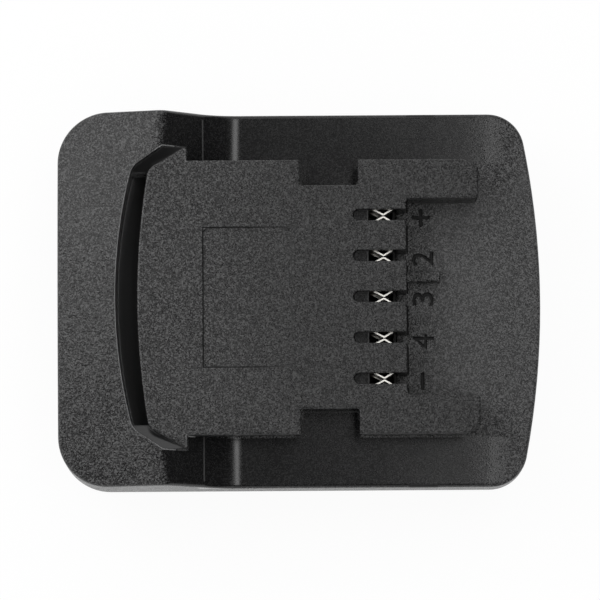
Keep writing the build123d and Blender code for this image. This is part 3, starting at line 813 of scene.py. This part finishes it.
# The contacts' second colour serves as painted shade inside the slots and for cloudy patches.
CONTACT = ForkMetal("contact_metal", (0.86, 0.84, 0.79), (0.075, 0.070, 0.063), 0.24)
BLADE = SpringMetal("blade_metal", (0.80, 0.77, 0.71), (0.58, 0.52, 0.44), 0.26)
SCREW = SpringMetal("screw_steel", (0.42, 0.42, 0.43), (0.20, 0.19, 0.18), 0.34, stretch=(1.0, 1.0, 0.2))
SOLDER = SpringMetal("solder", (0.66, 0.66, 0.67), (0.45, 0.45, 0.46), 0.3, stretch=(1.0, 1.0, 1.0))
RED_JACKET = WireJacket("wire_red", (0.45, 0.018, 0.014))
BLACK_JACKET = WireJacket("wire_black", (0.014, 0.014, 0.015))
YELLOW_JACKET = WireJacket("wire_yellow", (0.70, 0.46, 0.03))
WHITE_JACKET = WireJacket("wire_white", (0.70, 0.69, 0.66))


class Paintbox:
    """Makes each finish once and keeps it."""

    def __init__(self) -> None:
        """Starts empty."""
        self._made: dict[str, Material] = {}

    def get(self, finish: Any) -> Material:
        """The finish's material.

        Args:
            finish: A finish with a name and a make method.

        Returns:
            The material, made on first use.
        """
        if finish.name not in self._made:
            self._made[finish.name] = finish.make()
        return self._made[finish.name]


# Modelling


def placed(name: str, data: Any) -> Piece:
    """Adds a new object to the scene.

    Args:
        name: Its name.
        data: Its mesh, lamp or camera.

    Returns:
        The object.
    """
    made = bpy.data.objects.new(name, data)
    bpy.context.scene.collection.objects.link(made)
    return made


class Bench:
    """Modelling by operators, one piece at a time."""

    def __init__(self, frame: Mapping[str, Any], paints: Paintbox) -> None:
        self.frame = frame
        self.paints = paints

    def pick(self, piece: Piece) -> None:
        """Selects one object and nothing else.

        Args:
            piece: The object.
        """
        bpy.ops.object.select_all(action="DESELECT")
        piece.select_set(True)
        bpy.context.view_layer.objects.active = piece

    def edit(self, piece: Piece, work: Callable[[], None]) -> None:
        """Runs operators in edit mode with all of the piece selected.

        Args:
            piece: The object to edit.
            work: What to do there.
        """
        self.pick(piece)
        bpy.ops.object.mode_set(mode="EDIT")
        bpy.ops.mesh.select_mode(type="FACE")
        bpy.ops.mesh.select_all(action="SELECT")
        work()
        bpy.ops.object.mode_set(mode="OBJECT")

    def start(self, add: Callable[..., Any], **values: Any) -> Piece:
        """Adds a primitive with nothing else selected, placed in its mesh.

        Args:
            add: The operator that adds it.
            **values: The operator's settings.

        Returns:
            The primitive.
        """
        bpy.ops.object.select_all(action="DESELECT")
        add(**values)
        bpy.ops.object.transform_apply(location=True, rotation=True, scale=True)
        return bpy.context.object

    def modify(self, piece: Piece, kind: str, **values: Any) -> None:
        """Adds a modifier and applies it.

        Args:
            piece: The object.
            kind: The modifier's type.
            **values: Its settings.
        """
        self.pick(piece)
        made = piece.modifiers.new(kind.lower(), kind)
        for key, value in values.items():
            setattr(made, key, value)
        bpy.ops.object.modifier_apply(modifier=made.name)

    def outwards(self) -> None:
        """Turns all faces outwards, in edit mode."""
        bpy.ops.mesh.select_all(action="SELECT")
        bpy.ops.mesh.normals_make_consistent(inside=False)

    def select_faces(self, piece: Piece, test: Callable[[Vector], bool]) -> None:
        """Selects faces by their normal, in edit mode.

        Args:
            piece: The object in edit mode.
            test: Takes a normal and says whether the face is wanted.
        """
        mesh = bmesh.from_edit_mesh(piece.data)
        for face in mesh.faces:
            face.select = test(face.normal)
        mesh.select_flush_mode()
        bmesh.update_edit_mesh(piece.data)

    def complete(self, piece: Piece, finish: Any, slot: Slot, angle: float = 30.0) -> None:
        """Smooths a piece, evens its normals and gives it its finish and its body.

        Args:
            piece: The modelled object.
            finish: The finish for its material.
            slot: The record's material slot; not used.
            angle: Edges sharper than this many degrees stay sharp.
        """
        self.pick(piece)
        bpy.ops.object.transform_apply(location=True, rotation=True, scale=True)
        bpy.ops.object.shade_smooth_by_angle(angle=math.radians(angle))
        self.modify(piece, "WEIGHTED_NORMAL", keep_sharp=True)
        piece.data.materials.append(self.paints.get(finish))
        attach(piece, "root")
        LOG.info("%s: %d faces", piece.name, len(piece.data.polygons))

    def join(self, parts: Sequence[Piece], name: str) -> None:
        """Joins pieces into the first.

        Args:
            parts: The pieces.
            name: The name of the whole.
        """
        self.pick(parts[0])
        for part in parts[1:]:
            part.select_set(True)
        bpy.ops.object.join()
        parts[0].name = name
        parts[0].data.name = name

    def row(self, first: Piece, moves: Sequence[Point], name: str) -> None:
        """Copies a piece, each copy with its own mesh, and joins the copies to it.

        Args:
            first: The piece.
            moves: How far each copy is moved.
            name: The name of the whole.
        """
        parts = [first]
        for move in moves:
            mesh = first.data.copy()
            mesh.transform(Matrix.Translation(move))
            parts.append(placed(name + "_part", mesh))
        self.join(parts, name)

    def copy_of(self, node: str, name: str) -> Piece:
        """Merged copy of a node's mesh as a new object that stands for the node.

        Args:
            node: The node to copy.
            name: The new object's name.

        Returns:
            The copy.
        """
        mesh = self.frame["nodes"][node].data.copy()
        mesh.name = name
        mesh.materials.clear()
        piece = placed(name, mesh)

        def merge() -> None:
            """Joins the loose triangles."""
            bpy.ops.mesh.remove_doubles(threshold=0.0005 * MM)
            bpy.ops.mesh.customdata_custom_splitnormals_clear()

        self.edit(piece, merge)
        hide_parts(node)
        return piece


# The case


@dataclass
class UpperCase:
    """Upper shell with its terminal marks engraved in the plate."""

    bench: Bench
    plate_z: float = 24.0 * MM
    mark_depth: float = 0.45 * MM
    marks: tuple[tuple[str, float, float, float, float], ...] = (
        ("+", 24.5 * MM, 16.7 * MM, 3.5 * MM, 3.5 * MM),
        ("2", 24.8 * MM, 8.4 * MM, 4.2 * MM, 2.7 * MM),
        ("3", 24.8 * MM, 0.2 * MM, 4.2 * MM, 2.7 * MM),
        ("4", 24.8 * MM, -8.4 * MM, 4.2 * MM, 2.8 * MM),
        ("-", 24.6 * MM, -16.4 * MM, 0.6 * MM, 3.4 * MM),
    )

    def build(self) -> None:
        """Makes the shell and cuts its marks."""
        shell = self.bench.copy_of("upper_housing", "upper_case")
        for sign, x, y, high, wide in self.marks:
            self.engrave(shell, self.cutter(sign, x, y, high, wide))
        self.bench.complete(shell, UPPER_CASE, Slot.CASE, 28.0)

    def cutter(self, sign: str, x: float, y: float, high: float, wide: float) -> Piece:
        """Solid sign, reading along +Y, that straddles the plate.

        Args:
            sign: The sign.
            x: Its middle along X.
            y: Its middle along Y.
            high: Its height, along X.
            wide: Its width, along Y.

        Returns:
            The solid.
        """
        bpy.ops.object.select_all(action="DESELECT")
        bpy.ops.object.text_add(location=(0, 0, 0))
        text = bpy.context.object
        text.data.body = sign
        text.data.size = 1.0
        text.data.extrude = 0.5
        bpy.ops.object.convert(target="MESH")
        solid = bpy.context.object
        solid.data.transform(Matrix.Rotation(math.radians(90), 4, "Z"))
        spots = [vertex.co for vertex in solid.data.vertices]
        low = Vector([min(spot[i] for spot in spots) for i in range(3)])
        top = Vector([max(spot[i] for spot in spots) for i in range(3)])
        solid.data.transform(Matrix.Translation(-(low + top) / 2))
        wanted = (high, wide, 2 * self.mark_depth)
        stretch = [want / (top[i] - low[i]) for i, want in enumerate(wanted)]
        solid.data.transform(Matrix.Diagonal((*stretch, 1.0)))
        solid.data.transform(Matrix.Translation((x, y, self.plate_z)))

        def close() -> None:
            """Merges the sign's walls and turns its faces outwards."""
            bpy.ops.mesh.remove_doubles(threshold=0.001 * MM)
            self.bench.outwards()

        self.bench.edit(solid, close)
        return solid

    def engrave(self, shell: Piece, solid: Piece) -> None:
        """Cuts one solid from the shell and removes it.

        Args:
            shell: The shell.
            solid: The cutter.
        """
        before = len(shell.data.vertices)
        self.bench.modify(shell, "BOOLEAN", operation="DIFFERENCE", solver="EXACT", object=solid)
        LOG.info("a mark added %d points", len(shell.data.vertices) - before)
        bpy.data.objects.remove(solid, do_unlink=True)


@dataclass
class LowerCase:
    """Lower shell: the receptacle for the donor battery."""

    bench: Bench

    def build(self) -> None:
        """Makes the shell."""
        shell = self.bench.copy_of("lower_housing", "lower_case")
        self.bench.complete(shell, LOWER_CASE, Slot.LOWER_CASE, 28.0)


@dataclass(frozen=True)
class Group:
    """Nodes that share a finish and a slot."""

    finish: Any
    slot: Slot
    nodes: tuple[str, ...]


@dataclass
class PlainNodes:
    """Nodes whose shape is right as it is: merged, smoothed copies with their finishes."""

    bench: Bench
    groups: tuple[Group, ...] = (
        Group(CARRIER, Slot.CARRIER, ("contact_carrier",)),
        Group(BOARD, Slot.BOARD, ("circuit_board",)),
        Group(CHIP, Slot.CHIP, ("identity_chip", "cutoff_transistor")),
        Group(FUSE, Slot.FUSE, ("fuse",)),
        Group(THERMISTOR, Slot.RESISTOR, ("thermistor",)),
        Group(RESISTOR, Slot.RESISTOR, ("board_resistors",)),
        Group(CAPACITOR, Slot.CAPACITOR, ("board_capacitors",)),
        Group(HOLDER, Slot.HOLDER, ("blade_holder",)),
        Group(SCREW, Slot.SCREW, ("housing_screws", "board_screws")),
        Group(
            CONTACT,
            Slot.CONTACT,
            ("contact_plus", "contact_two", "contact_three", "contact_four", "contact_minus"),
        ),
        Group(BLADE, Slot.BLADE, ("blade_plus", "blade_signal_left", "blade_signal_right", "blade_minus")),
        Group(RED_JACKET, Slot.RED, ("wire_plus",)),
        Group(YELLOW_JACKET, Slot.YELLOW, ("wire_signal_left",)),
        Group(WHITE_JACKET, Slot.WHITE, ("wire_signal_right",)),
        Group(BLACK_JACKET, Slot.BLACK, ("wire_minus",)),
    )

    def build(self) -> None:
        """Makes each copy."""
        for group in self.groups:
            for node in group.nodes:
                piece = self.bench.copy_of(node, node + "_piece")
                self.bench.complete(piece, group.finish, group.slot)


@dataclass(frozen=True)
class JointRow:
    """A row of like solder joints along Y, on one face of the board."""

    name: str
    x: float
    spots: tuple[float, ...]
    z: float
    radius: float
    height: float


@dataclass
class SolderJoints:
    """Fillets of solder round the wire ends on the board and the contact tails below it."""

    bench: Bench
    rows: tuple[JointRow, ...] = (
        JointRow("solder_wires", 23.9 * MM, WIRE_SPOTS, 18.6 * MM, 1.7 * MM, 1.9 * MM),
        JointRow("solder_tails", 11.03 * MM, CONTACT_SPOTS, 17.0 * MM, 0.95 * MM, -1.1 * MM),
    )
    rings: tuple[tuple[float, float], ...] = (
        (0.93, 0.06),
        (0.74, 0.16),
        (0.52, 0.38),
        (0.36, 0.68),
        (0.22, 0.92),
    )

    def build(self) -> None:
        """Models one joint for each row and copies it along Y."""
        for row in self.rows:
            first = self.joint(row)
            self.bench.row(first, [(0.0, y - row.spots[0], 0.0) for y in row.spots[1:]], row.name)
            self.bench.complete(first, SOLDER, Slot.CONTACT, 50.0)

    def joint(self, row: JointRow) -> Piece:
        """One joint: a disc drawn up in narrowing rings.

        Args:
            row: The row that it begins.

        Returns:
            The joint.
        """
        x, y, z = row.x, row.spots[0], row.z
        circle = bpy.ops.mesh.primitive_circle_add
        piece = self.bench.start(circle, vertices=24, radius=row.radius, fill_type="NGON", location=(x, y, z))

        def draw_up() -> None:
            """Extrudes and narrows ring by ring."""
            size, level = 1.0, 0.0
            for ring, rise in self.rings:
                step = (0.0, 0.0, (rise - level) * row.height)
                bpy.ops.mesh.extrude_region_move(TRANSFORM_OT_translate={"value": step})
                share = ring / size
                middle = (x, y, z + rise * row.height)
                bpy.ops.transform.resize(value=(share, share, 1.0), center_override=middle)
                size, level = ring, rise
            bpy.ops.mesh.inset(thickness=row.radius * size * 0.45, depth=0.03 * MM)
            self.bench.outwards()

        self.bench.edit(piece, draw_up)
        return piece


@dataclass
class SlotFloors:
    """Short sloped tongue at the closed end of each terminal slot, over the contact's root."""

    bench: Bench
    end_x: float = 10.9 * MM
    radius: float = 1.16 * MM
    length: float = 1.75 * MM
    thickness: float = 0.5 * MM
    middle_z: float = 31.3 * MM
    slope: float = 16.0
    dish: float = 0.08 * MM
    rim: float = 0.2 * MM

    def build(self) -> None:
        """Models one tongue and copies it along Y."""
        first = self.tongue()
        self.bench.row(first, [(0.0, y - CONTACT_SPOTS[0], 0.0) for y in CONTACT_SPOTS[1:]], "slot_floors")
        self.bench.complete(first, FLOOR, Slot.CASE, 40.0)

    def tongue(self) -> Piece:
        """One tongue: a disc whose front half is drawn forward, with a shallow dish in its top.

        Returns:
            The tongue.
        """
        x, y, z = self.end_x + self.radius, CONTACT_SPOTS[0], self.middle_z
        size = {"vertices": 48, "radius": self.radius, "depth": self.thickness}
        piece = self.bench.start(bpy.ops.mesh.primitive_cylinder_add, location=(x, y, z), **size)

        def draw_forward() -> None:
            """Flattens the front half, moves it out and sinks the top."""
            self.bench.select_faces(piece, lambda normal: normal.x > 0.02)
            bpy.ops.transform.resize(value=(0.0, 1.0, 1.0), center_override=(x, y, z))
            bpy.ops.transform.translate(value=(self.length, 0.0, 0.0))
            self.bench.select_faces(piece, lambda normal: normal.z > 0.9)
            bpy.ops.mesh.inset(thickness=self.rim, depth=-self.dish)
            self.bench.outwards()
            turn = math.radians(self.slope)
            bpy.ops.transform.rotate(value=-turn, orient_axis="Y", center_override=(x, y, z))

        self.bench.edit(piece, draw_forward)
        return piece


@dataclass
class ChipLegs:
    """Gull-wing legs along both sides of the identity chip."""

    bench: Bench
    first_x: float = 0.145 * MM
    pitch: float = 1.27 * MM
    count: int = 4
    side_y: float = 2.0 * MM
    root_z: float = 19.35 * MM
    width: float = 0.42 * MM
    thickness: float = 0.2 * MM
    root_length: float = 0.4 * MM
    rounding: float = 0.03 * MM
    steps: tuple[tuple[float, float], ...] = (
        (0.18 * MM, -0.10 * MM),
        (0.14 * MM, -0.42 * MM),
        (0.12 * MM, -0.13 * MM),
        (0.42 * MM, 0.0),
    )

    def build(self) -> None:
        """Makes one leg and copies it."""
        pair = [self.leg(side) for side in (1, -1)]
        self.bench.join(pair, "chip_legs")
        moves = [(index * self.pitch, 0.0, 0.0) for index in range(1, self.count)]
        self.bench.row(pair[0], moves, "chip_legs")
        self.bench.complete(pair[0], SOLDER, Slot.CONTACT, 40.0)

    def leg(self, side: int) -> Piece:
        """One leg, from the body out, down and out again.

        Args:
            side: 1 for the left side, -1 for the right.

        Returns:
            The leg.
        """
        place = (self.first_x, side * self.side_y, self.root_z)
        scale = (self.width, self.root_length, self.thickness)
        piece = self.bench.start(bpy.ops.mesh.primitive_cube_add, size=1.0, location=place, scale=scale)

        def draw_out() -> None:
            """Extrudes the outer end step by step."""
            self.bench.select_faces(piece, lambda normal: normal.y * side > 0.9)
            for out, up in self.steps:
                step = (0.0, side * out, up)
                bpy.ops.mesh.extrude_region_move(TRANSFORM_OT_translate={"value": step})
            self.bench.outwards()

        self.bench.edit(piece, draw_out)
        self.bench.modify(piece, "BEVEL", width=self.rounding, segments=2)
        return piece


# Studio


@dataclass(frozen=True)
class Lamp:
    """Soft rectangular lamp. Its brightness is its radiance, where 1 is white."""

    name: str
    place: Point
    size: tuple[float, float]
    brightness: float


@dataclass(frozen=True)
class Card:
    """Black card. Its turn about each axis is in degrees."""

    name: str
    place: Point
    size: tuple[float, float]
    turn: Point


@dataclass
class Studio:
    """White floor, soft lamps, dark cards and the camera."""

    aim: Point = (0.07 * MM, 0.19 * MM, 24.02 * MM)
    distance: float = 1.0
    tilt: float = 5.5
    roll: float = 0.37
    lens: float = 298.2
    fill: float = 0.7
    floor_glow: float = 0.94
    lamp_aim_z: float = 24.0 * MM
    lamps: tuple[Lamp, ...] = (
        Lamp("lamp_overhead", (0.243, 0.02, 1.25), (0.22, 0.9), 4.6),
        Lamp("lamp_left", (-0.38, 0.21, 0.48), (0.34, 0.46), 2.75),
        Lamp("lamp_back", (0.10, 0.80, 0.92), (0.9, 0.35), 1.6),
    )
    cards: tuple[Card, ...] = (
        Card("card_ceiling", (0.0, 0.0, 1.5), (4.0, 4.0), (0, 0, 0)),
        Card("card_right", (0.20, 0.0, 0.20), (1.0, 0.40), (90, 0, 90)),
    )

    def build(self) -> None:
        """Sets up all of it."""
        scene = bpy.context.scene
        scene.view_settings.view_transform = "Standard"
        self.floor()
        self.sky()
        for lamp in self.lamps:
            self.hang(lamp)
        for card in self.cards:
            self.hold(card)
        self.camera()

    def floor(self) -> None:
        """Pale floor that keeps the object's shadow and lets a view from below through."""
        bpy.ops.mesh.primitive_plane_add(size=14.0, location=(0, 0, 0))
        ground = bpy.context.object
        ground.name = "floor"
        graph = Graph.paint("floor_paper")
        paper = graph.node("ShaderNodeBsdfDiffuse", None, {"Color": (0.86, 0.86, 0.86)})
        glow = graph.node("ShaderNodeEmission", None, {"Color": (1.0, 1.0, 1.0), "Strength": 1.0})
        lit = graph.either(graph.seen() * self.floor_glow, paper, glow)
        clear = graph.node("ShaderNodeBsdfTransparent")
        both = graph.either(graph.node("ShaderNodeNewGeometry").outputs["Backfacing"], lit, clear)
        ground.data.materials.append(graph.end(both))

    def sky(self) -> None:
        """World: soft fill on the object, white behind it."""
        world = bpy.data.worlds.new("studio")
        bpy.context.scene.world = world
        graph = Graph(world, "ShaderNodeOutputWorld")
        fill, white = (
            graph.node("ShaderNodeBackground", None, {"Color": (1.0, 1.0, 1.0), "Strength": strength})
            for strength in (self.fill, 1.0)
        )
        graph.end(graph.either(graph.seen(), fill, white))

    def hang(self, lamp: Lamp) -> None:
        """Makes one lamp and aims it at the object.

        Args:
            lamp: The lamp to make.
        """
        light = bpy.data.lights.new(lamp.name, "AREA")
        light.shape = "RECTANGLE"
        light.size, light.size_y = lamp.size
        light.energy = lamp.brightness * math.pi * light.size * light.size_y
        holder = placed(lamp.name, light)
        holder.location = lamp.place
        back = (Vector(lamp.place) - Vector((0, 0, self.lamp_aim_z))).normalized()
        across = (Vector((1, 0, 0)) - back * back.x).normalized()
        holder.rotation_euler = Matrix((across, back.cross(across), back)).transposed().to_euler()
        holder.visible_camera = False

    def hold(self, card: Card) -> None:
        """Makes one card, which only reflections see.

        Args:
            card: The card to make.
        """
        turn = [math.radians(angle) for angle in card.turn]
        bpy.ops.mesh.primitive_plane_add(size=1.0, location=card.place, rotation=turn)
        sheet = bpy.context.object
        sheet.name = card.name
        sheet.scale = (*card.size, 1.0)
        graph = Graph.paint(card.name + "_black")
        black = graph.node("ShaderNodeBsdfDiffuse", None, {"Color": (0.01, 0.01, 0.01)})
        sheet.data.materials.append(graph.end(black))
        sheet.visible_camera = False
        sheet.visible_diffuse = False
        sheet.visible_shadow = False

    def camera(self) -> None:
        """Camera above the object, tipped a little towards its near side."""
        tilt, roll = math.radians(self.tilt), math.radians(self.roll)
        data = bpy.data.cameras.new("camera")
        data.sensor_width = 36.0
        data.lens = self.lens
        data.clip_end = 20.0
        holder = placed("camera", data)
        back = Vector((0.0, -math.sin(tilt), math.cos(tilt)))
        holder.location = Vector(self.aim) + back * self.distance
        turn = Matrix.Rotation(tilt, 4, "X") @ Matrix.Rotation(-roll, 4, "Z")
        holder.rotation_euler = turn.to_euler()
        bpy.context.scene.camera = holder


def main() -> None:
    """Builds the adapter's looks, class by class."""
    logging.basicConfig(level=logging.INFO, format="%(name)s %(message)s")
    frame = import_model()
    bench = Bench(frame, Paintbox())
    Studio().build()
    for assembly in (UpperCase, LowerCase, PlainNodes, SolderJoints, ChipLegs, SlotFloors):
        assembly(bench).build()


if __name__ == "__main__":
    main()
